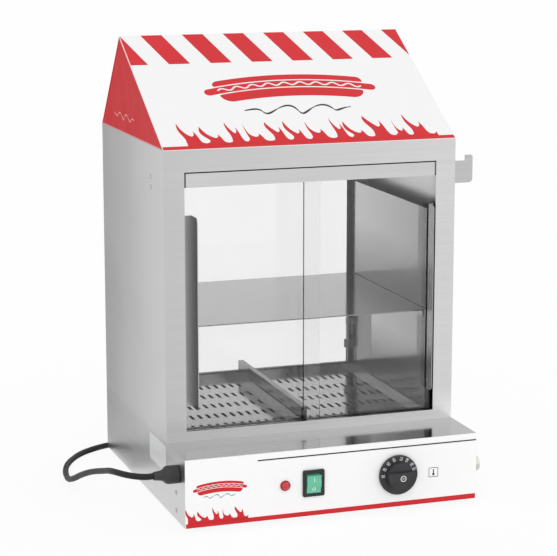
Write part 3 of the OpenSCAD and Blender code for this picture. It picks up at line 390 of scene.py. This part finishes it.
TAIL, TAIL_POINTS, PLUG_Z = 56, 6, 12.5


def ease(t):
    """From 0 to 1, with a slow start and end."""
    u = min(1, max(0, t))
    return u * u * (3 - 2 * u)


def coil_point(turn):
    """A point of the coil: two turns inwards, a step up, and two turns outwards on top."""
    r = COIL_R - COIL_PITCH * (2 - abs(turn - 2))
    a = math.radians(360 * turn - 90)
    return (COIL_X + r * math.cos(a), COIL_Y + r * math.sin(a),
            FLOOR_LINE + COIL_PITCH * ease((turn - 2) * 2 + 0.5))


def tail_point(s):
    """A point of the cord's end, which rises to the plug's middle."""
    return (COIL_X + TAIL * s, COIL_Y - COIL_R, COIL_HIGH + (PLUG_Z - COIL_HIGH) * ease((s - 0.12) / 0.68))


route = ROUTE + [(COIL_X - 7.5, COIL_Y - COIL_R, FLOOR_LINE)]
route += [coil_point(i / TURN_POINTS) for i in range(TURN_POINTS * COIL_TURNS + 1)]
route += [tail_point(i / TAIL_POINTS) for i in range(1, TAIL_POINTS + 1)]
curve = bpy.data.curves.new("mains_lead", "CURVE")
curve.dimensions = "3D"
curve.bevel_depth = CORD_D / 2
curve.bevel_resolution = 3
curve.resolution_u = 3
spline = curve.splines.new("BEZIER")
spline.bezier_points.add(len(route) - 1)
for point, place in zip(spline.bezier_points, route):
    point.co = m(*place)
    point.handle_left_type = point.handle_right_type = "AUTO"
curve.materials.append(MAT["rubber"])
cord = add_object("mains_lead", curve)
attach(cord, "cabinet")
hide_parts("mains_cord", "cord_coil")


# Surfaces that carry prints and small pieces. Each function takes two places on the surface and the height above it.
PANEL_FACE, GRIP_FACE, TRACK_FACE, SIDE_FACE, SHELF_TOP = -77.8, -93.3, 2.4, -0.02, 218.3
LINER_LEFT, LINER_RIGHT, GABLE_IN, SCREW_HEAD = 25, 345, 0.4, 1.6
ROCKER_X, ROCKER_Y, ROCKER_Z, ROCKER_TILT = 158.5, -71.8, 41, 7
BULGE_R, BEND_FRONT, BEND_RISE = 10.8, 8, 1.6


def on_roof(x, up, lift=0.0):
    """A point on the front slope: x, the way up the slope, and the height above the sheet."""
    return m(x, up * math.cos(SLOPE) - lift * math.sin(SLOPE), TOP_Z + up * math.sin(SLOPE) + lift * math.cos(SLOPE))


def across_x(x, out):
    """The upright face at x that looks along out, -1 or 1. Its places are y and z."""
    return lambda y, z, lift=0.0: m(x + out * lift, y, z)


def across_y(y, out):
    """The upright face at y that looks along out, -1 or 1. Its places are x and z."""
    return lambda x, z, lift=0.0: m(x, y + out * lift, z)


def on_shelf(x, y, lift=0.0):
    """A point on the shelf's top."""
    return m(x, y, SHELF_TOP + lift)


def on_rocker(a, b, lift=0.0):
    """A point on the rocker's front, which is bent in the middle and bulges there, turned as the rocker rests."""
    y = -max(BEND_FRONT + BEND_RISE * abs(b) / BULGE_R, math.sqrt(max(0, BULGE_R ** 2 - b * b))) - lift
    tilt = math.radians(ROCKER_TILT)
    return m(ROCKER_X + a, ROCKER_Y + y * math.cos(tilt) - b * math.sin(tilt),
             ROCKER_Z + y * math.sin(tilt) + b * math.cos(tilt))


on_panel = across_y(PANEL_FACE, -1)
on_knob = across_y(GRIP_FACE, -1)
on_track = across_y(TRACK_FACE, -1)
on_screws = across_y(CAB_D + SCREW_HEAD, 1)
on_side = across_x(SIDE_FACE, -1)
on_gables = {"left": across_x(GABLE_IN, -1), "right": across_x(CAB_W - GABLE_IN, 1)}
in_liners = {"right": across_x(LINER_RIGHT, -1), "left": across_x(LINER_LEFT, 1)}

# Prints reach from just inside their surface to just above it
PRINT_LOW, PRINT_HIGH = -0.03, 0.09


def prints(name, shapes, place, look_name, lift=0.0, body="cabinet"):
    """Thin shapes on a surface, as one piece. Each shape is an outline and any holes in it, as lists of points."""
    verts, faces = [], []
    for outlines in shapes:
        points = [p for outline in outlines for p in outline]
        first, count = len(verts), len(points)
        verts += [place(a, b, lift + PRINT_HIGH) for a, b in points]
        verts += [place(a, b, lift + PRINT_LOW) for a, b in points]
        for tri in tessellate_polygon([[Vector((a, b, 0)) for a, b in outline] for outline in outlines]):
            faces.append([first + i for i in tri])
            faces.append([first + count + i for i in reversed(tri)])
        start = first
        for outline in outlines:
            for i in range(len(outline)):
                a, b = start + i, start + (i + 1) % len(outline)
                faces.append([a, b, b + count, a + count])
            start += len(outline)
    mesh = bpy.data.meshes.new(name)
    mesh.from_pydata(verts, [], faces)
    mesh.validate()
    work = bmesh.new()
    work.from_mesh(mesh)
    bmesh.ops.recalc_face_normals(work, faces=work.faces)
    work.to_mesh(mesh)
    work.free()
    mesh.materials.append(MAT[look_name])
    made = add_object(name, mesh)
    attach(made, body)


# Outlines
def bezier(p, q, r, s):
    """Points of a cubic curve, without its last point."""
    out, count = [], 10
    for i in range(count):
        t = i / count
        a, b, c, d = (1 - t) ** 3, 3 * t * (1 - t) ** 2, 3 * t * t * (1 - t), t ** 3
        out.append((a * p[0] + b * q[0] + c * r[0] + d * s[0], a * p[1] + b * q[1] + c * r[1] + d * s[1]))
    return out


def rectangle(x0, x1, y0, y1):
    return [(x0, y0), (x1, y0), (x1, y1), (x0, y1)]


def circle(x, y, r, count=32):
    return [(x + r * math.cos(2 * math.pi * i / count), y + r * math.sin(2 * math.pi * i / count))
            for i in range(count)]


def ring(x, y, r_out, r_in, count=32):
    return [circle(x, y, r_out, count), circle(x, y, r_in, count)[::-1]]


def pill(x0, x1, y0, y1, r_low, r_high):
    """A long shape with rounded ends, each pair of corners with its own radius, in steps of 6 mm at most."""
    out, count = [], 8
    for cx, cy, r, start in ((x1 - r_low, y0 + r_low, r_low, -90), (x1 - r_high, y1 - r_high, r_high, 0),
                             (x0 + r_high, y1 - r_high, r_high, 90), (x0 + r_low, y0 + r_low, r_low, 180)):
        out += [(cx + r * math.cos(math.radians(start + 90 * i / count)),
                 cy + r * math.sin(math.radians(start + 90 * i / count))) for i in range(count + 1)]
    out = [p for i, p in enumerate(out) if math.dist(p, out[i - 1]) > 1e-4]
    stepped = []
    for i, p in enumerate(out):
        q = out[(i + 1) % len(out)]
        steps = max(1, int(math.dist(p, q) / 6))
        stepped += [(p[0] + (q[0] - p[0]) * k / steps, p[1] + (q[1] - p[1]) * k / steps) for k in range(steps)]
    return stepped


def ribbon(line, widths):
    """An outline of even or changing width about a line of points."""
    left, right = [], []
    for i, (x, y) in enumerate(line):
        ax, ay = line[max(0, i - 1)]
        bx, by = line[min(len(line) - 1, i + 1)]
        size = math.hypot(bx - ax, by - ay) or 1
        nx, ny = -(by - ay) / size, (bx - ax) / size
        w = widths[i] / 2
        left.append((x + nx * w, y + ny * w))
        right.append((x - nx * w, y - ny * w))
    return left + right[::-1]


def bent(points, x, y, radius):
    """Points of a level band, bent into an arch about the band's middle."""
    return [(x + (radius + b) * math.sin(a / radius), y + (radius + b) * math.cos(a / radius) - radius)
            for a, b in points]


# One flame, in shares of its width and height: the tongue's two sides, the spur's two sides, and the dip after it
FLAME = [
    [(0, 0.16), (0.04, 0.42), (-0.3, 0.6), (-0.15, 1)],
    [(-0.15, 1), (-0.08, 0.74), (0.06, 0.56), (0.24, 0.42)],
    [(0.24, 0.42), (0.36, 0.36), (0.44, 0.48), (0.42, 0.66)],
    [(0.42, 0.66), (0.58, 0.44), (0.54, 0.2), (0.66, 0.08)],
    [(0.66, 0.08), (0.76, 0), (0.96, 0), (1, 0.16)],
]


def flames(left, right, count, low, high, foot):
    """The outline of a row of flames, with widths, leans and heights that vary."""
    widths = [1 + 0.22 * math.sin(2.3 * i + 0.6) for i in range(count)]
    scale = (right - left) / sum(widths)
    outline, x = [(left, foot)], left
    for i, width in enumerate(widths):
        wide, lean = width * scale, 1 + 0.8 * math.sin(1.7 * i)
        tall, dip = high * (0.9 + 0.1 * math.sin(2.9 * i + 1)) - low, 0.9 + 0.25 * math.sin(3.7 * i)
        for part in FLAME:
            outline += bezier(*[(x + wide * (a * lean if a < 0 else a), low + tall * (b if b > 0.9 else b * dip))
                                for a, b in part])
        x += wide
    outline += [(x, low + 0.12 * (high - low)), (x, foot)]
    return [outline]


# The hot dog drawing's size when half of it is this long
SIGN_HALF = 110


def sausage_sign(x, y, half, radius):
    """A plain hot dog in a bun: two halves of the bun and the sausage between them, bent into an arch."""
    k = half / SIGN_HALF
    lower = pill(-94 * k, 94 * k, -20 * k, -3.4 * k, 14 * k, 2.6 * k)
    middle = pill(-110 * k, 110 * k, -1.2 * k, 11 * k, 6 * k, 6 * k)
    upper = pill(-94 * k, 94 * k, 13.2 * k, 23 * k, 2 * k, 8.5 * k)
    return [[bent(p, x, y, radius)] for p in (lower, middle, upper)]


def mustard(x, y, half, radius):
    """The wavy line on the sausage."""
    k, steps, waves = half / SIGN_HALF, 120, 9
    line = [(-92 * k + 184 * k * i / steps, 4.9 * k + 2.7 * k * math.sin(i / steps * math.pi * 2 * waves))
            for i in range(steps + 1)]
    return [[bent(ribbon(line, [2.4 * k] * len(line)), x, y, radius)]]


def flourish(x0, x1, y, high):
    """A drawn line with three slow waves that swells and thins."""
    steps, line, widths = 90, [], []
    for i in range(steps + 1):
        share = i / steps
        wave = share * 6 * math.pi
        line.append((x0 + (x1 - x0) * share + high * 0.25 * math.sin(wave),
                     y + high / 2 * math.sin(wave + 0.6) * math.sin(math.pi * (0.08 + 0.84 * share))))
        widths.append(high * (0.07 + 0.12 * abs(math.sin(wave + 0.2))))
    return [[ribbon(line, widths)]]


# Print on the roof's front
PRINT_GAP = 0.4
STRIPES, STRIPE_FIRST, STRIPE_W, STRIPE_PITCH, SLANT = 6, 27.0, 27.0, 53.7, 22.0
STRIPE_LOW, STRIPE_HIGH = 169.0, SLOPE_LEN - PRINT_GAP
LAST_W, SLANT_SLOPE = 20.4, 61.6 / SLANT
left_edge, right_edge = PRINT_GAP, CAB_W - PRINT_GAP
stripes = [[[(left_edge, STRIPE_LOW), (22.3, STRIPE_LOW), (left_edge, STRIPE_HIGH)]]]
for i in range(STRIPES):
    top = STRIPE_FIRST + STRIPE_PITCH * i
    stripes.append([[(top + SLANT, STRIPE_LOW), (top + SLANT + STRIPE_W, STRIPE_LOW), (top + STRIPE_W, STRIPE_HIGH),
                     (top, STRIPE_HIGH)]])
stripes.append([[(right_edge - LAST_W, STRIPE_HIGH), (right_edge, STRIPE_HIGH),
                 (right_edge, STRIPE_HIGH - LAST_W * SLANT_SLOPE)]])
prints("roof_stripes", stripes, on_roof, "red print")

ROOF_SIGN = (189.5, 117, 111, 430)
prints("roof_flames", [flames(32, 350, 12, 10, 52, 6.8)], on_roof, "red print")
prints("roof_base_line", [[rectangle(left_edge, right_edge, 1.0, 7.2)]], on_roof, "red print")
prints("roof_sign", sausage_sign(*ROOF_SIGN), on_roof, "red print")
prints("roof_sign_wave", mustard(*ROOF_SIGN), on_roof, "white ink", 0.06)
prints("roof_flourish", flourish(119, 256, 69.5, 17), on_roof, "black print")

# Print on the control panel
PANEL_RIGHT = 369.4
PANEL_SIGN = (42.5, 47.5, 33, 130)
prints("panel_flames", [flames(3, 77, 5, 8, 24.5, 5.8)], on_panel, "red print")
prints("panel_band", [[[(0.6, 0.6), (PANEL_RIGHT, 0.6), (PANEL_RIGHT, 6.9), (120, 6.2), (0.6, 6.0)]]], on_panel,
       "red print")
prints("panel_line", [[rectangle(88.8, PANEL_RIGHT, 74.0, 75.6)]], on_panel, "black print")
prints("panel_sign", sausage_sign(*PANEL_SIGN), on_panel, "red print")
prints("panel_sign_wave", mustard(*PANEL_SIGN), on_panel, "white ink", 0.06)
prints("panel_flourish", flourish(22, 62, 36.5, 4), on_panel, "black print")

# A thermometer in a square
ICON_X, ICON_Z = 313.5, 39.0
ICON_OUT_W, ICON_OUT_H, ICON_IN_W, ICON_IN_H = 6.2, 6.0, 5.5, 5.3
icon = [[pill(ICON_X - ICON_OUT_W, ICON_X + ICON_OUT_W, ICON_Z - ICON_OUT_H, ICON_Z + ICON_OUT_H, 1, 1),
         pill(ICON_X - ICON_IN_W, ICON_X + ICON_IN_W, ICON_Z - ICON_IN_H, ICON_Z + ICON_IN_H, 0.6, 0.6)[::-1]],
        [pill(ICON_X - 0.7, ICON_X + 0.7, ICON_Z - 2.2, ICON_Z + 3.8, 0.3, 0.6)],
        [circle(ICON_X, ICON_Z - 2.6, 1.5)]]
prints("panel_icon", icon, on_panel, "black print")

# Scale on the knob's skirt: the places, in x and z, that the numbers point to, from the lowest number up
KNOB_X, KNOB_Z, SKIRT_Y = 266.5, 41.0, -82.3
SCALE_FIRST, SCALE_STEP, SCALE_R, DIGIT_H, DIGIT_T = 30, 10, 20.5, 5.2, 0.06
SCALE = [(244.8, 41.1), (248.5, 49.2), (253.4, 55.3), (260.3, 59.1), (268.9, 60), (276.5, 58.6), (283.2, 53.5),
         (288.1, 48.1)]
for i, (x, z) in enumerate(SCALE):
    turn = math.atan2(x - KNOB_X, z - KNOB_Z)
    data = bpy.data.curves.new(f"scale_{i}", "FONT")
    data.body = str(SCALE_FIRST + SCALE_STEP * i)
    data.size = DIGIT_H / 1000
    data.align_x, data.align_y = "CENTER", "CENTER"
    data.extrude = DIGIT_T / 1000
    data.materials.append(MAT["white ink"])
    number = add_object(f"scale_{i}", data)
    number.location = m(KNOB_X + SCALE_R * math.sin(turn), SKIRT_Y - 0.03, KNOB_Z + SCALE_R * math.cos(turn))
    number.rotation_euler = (math.pi / 2, turn + math.pi / 2, 0)
    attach(number, "knob")

# Marks on the knob's grip and on the rocker, and a dark red ring at the lamp's edge, painted shade of its dome
prints("knob_mark", [ring(268, 39.4, 3.7, 2.8), [pill(266.4, 269.6, 39.0, 39.8, 0.3, 0.3)]], on_knob, "white ink",
       body="knob")
prints("lamp_rim_shade", [ring(123, 41, 6.15, 5.0)], on_panel, "dark red", 1.8)
prints("rocker_marks", [[pill(-0.45, 0.45, 3.4, 8.0, 0.2, 0.2)], ring(0, -5.8, 2.2, 1.45)], on_rocker, "white ink",
       0.1, "rocker")

# Light pink lines along the gables' lower and front edges as painted highlights, and the drawn line on the gables
EAVE_FRONT, EAVE_BACK = 3, CAB_D - 4
low_edge = [(EAVE_BACK, TOP_Z + 0.3), (EAVE_BACK, TOP_Z + 1.1), (EAVE_FRONT, TOP_Z + 1.1), (EAVE_FRONT, TOP_Z + 0.3)]
front_edge = [(EAVE_FRONT, TOP_Z + 0.8), (EAVE_FRONT + 2.4, TOP_Z + 0.8), (RIDGE_Y - 0.4, RIDGE_Z - 4),
              (RIDGE_Y - 1, RIDGE_Z - 2.4)]
for side, place in on_gables.items():
    prints(f"gable_edge_highlight_{side}", [[low_edge], [front_edge]], place, "pink print")
for side, place in on_gables.items():
    prints(f"gable_flourish_{side}", flourish(132, 228, 455, 8), place, "pink print")

# Painted shadows: dark rings round the rivets of the left side
SHADOW_RING_R_OUT, SHADOW_RING_R_IN, SHADOW_RING_POINTS = 3.0, 2.2, 24
for name, places in (("rivet_shadows", ((58, 397.5), (58, 384.8))),
                     ("base_rivet_shadows", ((-38.5, 33.4), (-38.5, 11.2)))):
    rings = [ring(y, z, SHADOW_RING_R_OUT, SHADOW_RING_R_IN, SHADOW_RING_POINTS) for y, z in places]
    prints(name, rings, on_side, "dark")

# A dark strip, painted shade of the gap, over the doors' upper track and down its left end
gap_outline = [(25, 390), (27.4, 390), (27.4, 406.6), (345, 406.6), (345, 408.5), (25, 408.5)]
prints("track_gap_shade", [[gap_outline]], on_track, "rubber")

# Painted shade on the liners: dark strips at their front ends, in two lengths with the shelf between them,
# and a dark patch at the back of the right liner under the shelf
LINER_SHADE_FRONT, LINER_SHADE_BACK = 28.2, 54.5
liner_shade_strips = [[[(LINER_SHADE_FRONT, low), (LINER_SHADE_BACK, low), (LINER_SHADE_BACK, high), (LINER_SHADE_FRONT, high)]]
         for low, high in ((106, 214), (220, 344.8))]
for side, place in in_liners.items():
    prints(f"liner_front_shade_{side}", liner_shade_strips, place, "liner shade", 0.1)
prints("liner_rear_shade", [[pill(212, 279, 108, 212, 2, 2)]], in_liners["right"], "liner shade", 0.1)

# Dark crosses on the rear screws' heads, painted shade of their recesses
CROSS, BAR = 1.9, 0.35
CROSS_SHAPE = [(-CROSS, -BAR), (-BAR, -BAR), (-BAR, -CROSS), (BAR, -CROSS), (BAR, -BAR), (CROSS, -BAR), (CROSS, BAR),
               (BAR, BAR), (BAR, CROSS), (-BAR, CROSS), (-BAR, BAR), (-CROSS, BAR)]
REAR_SCREWS = ((14, 113), (356, 113), (14, 405), (356, 405), (60, 20), (185, 20), (310, 20))
crosses = [[[(x + a, z + b) for a, b in CROSS_SHAPE]] for x, z in REAR_SCREWS]
prints("rear_screw_recess_shade", crosses, on_screws, "dark")

# A light strip along the shelf's right end, a painted highlight where the shelf meets the liner
prints("shelf_edge_highlight", [[rectangle(343.3, 344.1, 27, 281)]], on_shelf, "hook", body="shelf")


# Floor, background and light
def seen(tree, share):
    """share where a camera, glossy or transmission ray arrives, and 0 elsewhere."""
    path = tree.nodes.new("ShaderNodeLightPath")
    either = path.outputs["Is Camera Ray"]
    for ray in ("Is Glossy Ray", "Is Transmission Ray"):
        larger = tree.nodes.new("ShaderNodeMath")
        larger.operation = "MAXIMUM"
        tree.links.new(either, larger.inputs[0])
        tree.links.new(path.outputs[ray], larger.inputs[1])
        either = larger.outputs[0]
    scaled = tree.nodes.new("ShaderNodeMath")
    scaled.operation = "MULTIPLY"
    scaled.inputs[1].default_value = share
    tree.links.new(either, scaled.inputs[0])
    return scaled.outputs[0]


def two_faced(tree, output, lighting, showing, share):
    """Makes a shader tree that lights the scene as one shader and shows, by a share, as another."""
    out = tree.nodes.new(output)
    mix = tree.nodes.new("ShaderNodeMixShader")
    tree.links.new(seen(tree, share), mix.inputs["Fac"])
    tree.links.new(lighting.outputs[0], mix.inputs[1])
    tree.links.new(showing.outputs[0], mix.inputs[2])
    tree.links.new(mix.outputs[0], out.inputs["Surface"])


FLOOR_HALF, FLOOR_Z = 40, -0.0002
FLOOR_DIFFUSE, FLOOR_SEEN = 0.95, 0.9
stage_mat = bpy.data.materials.new("floor")
stage_mat.use_nodes = True
tree = stage_mat.node_tree
tree.nodes.clear()
plain = tree.nodes.new("ShaderNodeBsdfDiffuse")
plain.inputs["Color"].default_value = (*grey(FLOOR_DIFFUSE), 1)
shine = tree.nodes.new("ShaderNodeEmission")
shine.inputs["Strength"].default_value = 1.0
two_faced(tree, "ShaderNodeOutputMaterial", plain, shine, FLOOR_SEEN)
floor_mesh = bpy.data.meshes.new("floor")
floor_mesh.from_pydata([(x, y, FLOOR_Z) for x, y in rectangle(-FLOOR_HALF, FLOOR_HALF, -FLOOR_HALF, FLOOR_HALF)], [],
                       [(0, 1, 2, 3)])
floor_mesh.materials.append(stage_mat)
add_object("floor", floor_mesh)

WORLD_LIGHT, WORLD_SEEN = 0.78, 1.0
world = bpy.data.worlds.new("studio")
bpy.context.scene.world = world
world.use_nodes = True
tree = world.node_tree
tree.nodes.clear()
backgrounds = []
for strength in (WORLD_LIGHT, WORLD_SEEN):
    background = tree.nodes.new("ShaderNodeBackground")
    background.inputs["Color"].default_value = (*grey(1), 1)
    background.inputs["Strength"].default_value = strength
    backgrounds.append(background)
two_faced(tree, "ShaderNodeOutputWorld", *backgrounds, 1.0)

SUN_ENERGY, SUN_ANGLE, SUN_ALONG = 0.85, 150, (-0.2, 0.8, -0.5)
sun_data = bpy.data.lights.new("sun", "SUN")
sun_data.energy = SUN_ENERGY
sun_data.angle = math.radians(SUN_ANGLE)
sun = add_object("sun", sun_data)
sun.rotation_euler = Vector(SUN_ALONG).to_track_quat("-Z", "Y").to_euler()

# A grey card on the floor and upright, behind and left of the machine, seen only in shiny surfaces
CARD_GREY, CARD_ROUGH = 0.62, 0.9
CARD_LEFT, CARD_RIGHT, CARD_FRONT, CARD_BACK, CARD_LOW, CARD_HIGH = -110, -12, 200, 430, -5.9, 560
card_mat = bpy.data.materials.new("card")
card_mat.use_nodes = True
card_shader = card_mat.node_tree.nodes["Principled BSDF"]
card_shader.inputs["Base Color"].default_value = (*grey(CARD_GREY), 1)
card_shader.inputs["Roughness"].default_value = CARD_ROUGH
card_mesh = bpy.data.meshes.new("card")
card_mesh.from_pydata([m(CARD_LEFT, CARD_BACK, CARD_LOW), m(CARD_RIGHT, CARD_BACK, CARD_LOW),
                       m(CARD_RIGHT, CARD_BACK, CARD_HIGH), m(CARD_LEFT, CARD_BACK, CARD_HIGH),
                       m(CARD_LEFT, CARD_FRONT, CARD_LOW), m(CARD_RIGHT, CARD_FRONT, CARD_LOW)], [],
                      [(0, 1, 2, 3), (4, 5, 1, 0)])
card_mesh.materials.append(card_mat)
card = add_object("card", card_mesh)
card.visible_camera = card.visible_diffuse = card.visible_transmission = card.visible_shadow = False
